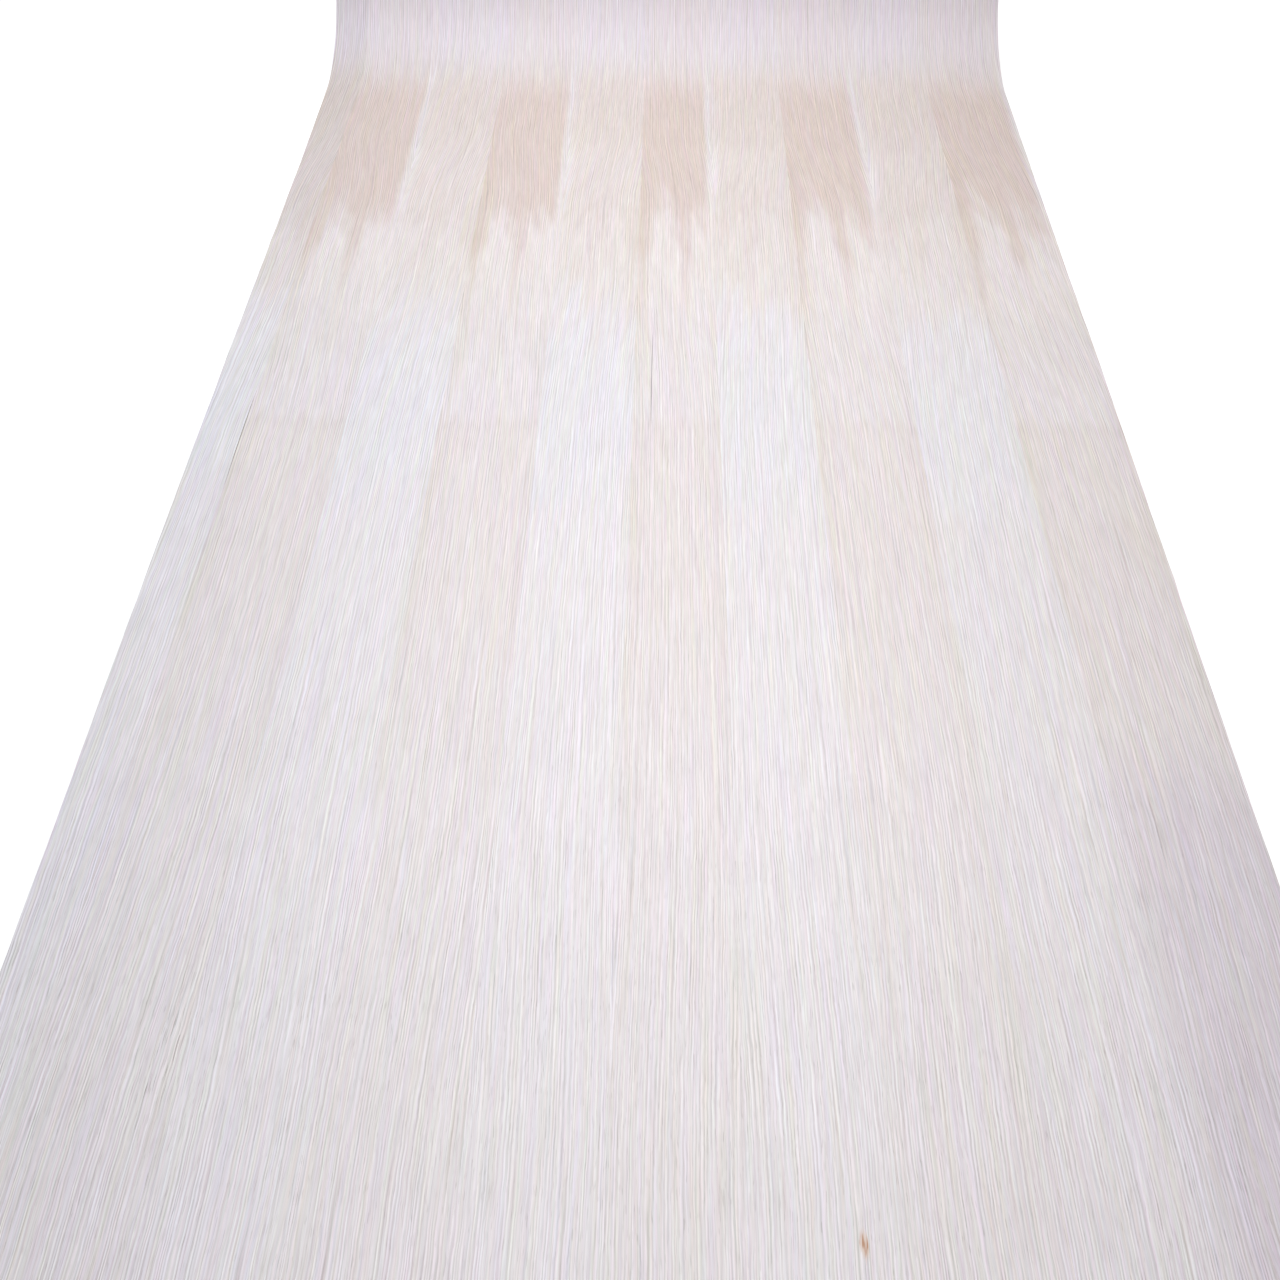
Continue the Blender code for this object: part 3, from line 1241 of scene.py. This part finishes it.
# %% Materials for the faces
def face_material(leaf):
    """The face of one leaf."""
    light = leaf["light"]
    material, tree, shader = new_wood(leaf["node"] + "_face")
    spot = leaf_map(tree)
    path = place_group(tree, grain_path, Map=spot, Slice=float(leaf["slice"]))
    place = {"From_heel": path["From heel"], "Along": path["Along"]}
    place["Leaf_width"] = UNCUT_WIDTH if leaf["node"] == CUT_LEAF else leaf["width"]
    colour = BODY[light]
    masks = place_group(tree, stretches, Path=path["Path"], **place)
    # Stretch tints: painted sheen and painted shade along the sheet, with the blush partly the wood's
    # own colour.
    for name, (tint, share) in STRETCH_TINTS[light].items():
        share = times(tree, masks[name], share)
        colour = mixed(tree, share, colour, display(*tint))

    bands = place_group(tree, joint_bands, Straightened=path["Straightened"], **place)
    heel_share = times(tree, bands["Heel"], HEEL_SHARE[light])
    colour = mixed(tree, heel_share, colour, mixed(tree, 1.0, colour, HEEL_TINT, "MULTIPLY"))
    grain = place_group(tree, growth_lines, Path=path["Path"], **GRAIN)
    dashes = place_group(tree, pores, Path=path["Path"])
    tone = times(tree, grain["Tone"], step(tree, path["Along"], *GRAIN_FADE))
    open_pores = times(tree, dashes["Mask"], step(tree, path["Along"], *PORE_FADE))
    layers = [(open_pores, -PORE_DARKENING)]
    # Painted highlight on the curl, and painted shade towards its end.
    layers += [(masks["Curl highlight"], CURL_HIGHLIGHT_LIGHTENING), (masks["Curl end shade"], -CURL_END_SHADE_DARKENING)]
    if light:
        layers += [(bands["Streak"], STREAK_LIGHTENING), (bands["Bright"], BRIGHT_LIGHTENING)]
    else:
        # Dark leaves: a dark line at the joint, and the painted shade of a crease.
        layers += [(bands["Line"], -LINE_DARKENING), (masks["Crease shade"], -CREASE_SHADE_DARKENING)]
    for mask, weight in layers:
        tone = add(tree, mask, weight, tone)
    if leaf["node"] == COARSE_LEAF:
        tone = with_coarse_patch(tree, spot, path, tone)
    if leaf["node"] == CUT_LEAF:
        tone = maths(tree, "SUBTRACT", tone, step(tree, path["Along"], *CUT_LEAF_DULLS))
    # Painted shade over the near right corner.
    if leaf["node"] in PAINTED_SHADOW_LEAVES:
        colour = with_painted_corner_shadow(tree, path, colour)
    colour = mixed(tree, 1.0, colour, grain["Tint"], "MULTIPLY")
    colour = toned(tree, colour, tone)

    if leaf["node"] == PIN_LEAF:
        colour = pin_marked(tree, spot, path, colour)
    feed(tree, shader.inputs["Base Color"], colour)
    relief(tree, shader, spot)
    return material


print("Faces: the light leaves' bare wood is", [round(part, 3) for part in BODY[True]])

# %% [markdown]
# ## The underside and the rims
#
# The underside is the loose side of the slice, which the knife bent open: the same grain, a little
# duller and rougher, and without the tints of the face. The rims are cut wood half a millimetre
# thick, so they only need to be darker than the face and broken up along their length.

# %% Materials for the underside and the rims
BACK_TONE = display(226, 212, 202)
BACK_SLICE = 0.5
BACK_PORE_START = 0.58
BACK_ROUGHNESS = 0.74
RIM_TONES = (display(196, 176, 158), display(222, 206, 192))
RIM_SPOT = 0.004
RIM_BREAK = (0.35, 0.65)


def back_material(leaf):
    """The underside of one leaf."""
    material, tree, shader = new_wood(leaf["node"] + "_underside")
    spot = leaf_map(tree)
    path = place_group(tree, grain_path, Map=spot, Slice=leaf["slice"] + BACK_SLICE)
    grain = place_group(tree, growth_lines, Path=path["Path"], **GRAIN)
    dashes = place_group(tree, pores, Path=path["Path"], Start=BACK_PORE_START)
    tone = add(tree, dashes["Mask"], -PORE_DARKENING, grain["Tone"])
    colour = mixed(tree, 1.0, BACK_TONE, grain["Tint"], "MULTIPLY")
    feed(tree, shader.inputs["Base Color"], toned(tree, colour, tone))
    shader.inputs["Roughness"].default_value = BACK_ROUGHNESS
    relief(tree, shader, spot)
    return material


def rim_material():
    """Cut edges of the leaves."""
    material, tree, shader = new_wood("cut_edge")
    place = new_node(tree, "TexCoord").outputs["Object"]
    broken = streaks(tree, place, RIM_SPOT, RIM_SPOT, detail=2.0)
    share = step(tree, broken, *RIM_BREAK)
    feed(tree, shader.inputs["Base Color"], mixed(tree, share, *RIM_TONES))
    return material


cut_edge = rim_material()
print("Underside and rim finishes made")

# %% [markdown]
# ## Laying the leaves
#
# Everything is ready, so the leaves are laid one by one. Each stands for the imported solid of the
# same name, takes its finish from the record's light or dark face, and rides on the only body there
# is, because nothing on a sheet of veneer moves.

# %% Build and place the leaves
triangles = 0
for leaf in leaves:
    mesh = leaf_mesh(leaf)
    for material in (face_material(leaf), back_material(leaf), cut_edge):
        mesh.materials.append(material)
    piece = placed(mesh.name, mesh)
    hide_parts(leaf["node"])
    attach(piece, "root")
    triangles += sum(len(face.vertices) - 2 for face in mesh.polygons)
print(f"{len(leaves)} leaves, {triangles} triangles")

# %% [markdown]
# ## Measuring the result
#
# The finished sheet is meant to keep the size of the imported model. Both boxes are printed, one
# below the other.

# %% Print both sizes and finish
bpy.context.view_layer.update()
boxes = {
    "cad": [list(corner) for corner in cad_box],
    "visual": [list(corner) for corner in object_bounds()],
}
for name, box in boxes.items():
    print(name, [[round(value, 4) for value in corner] for corner in box])
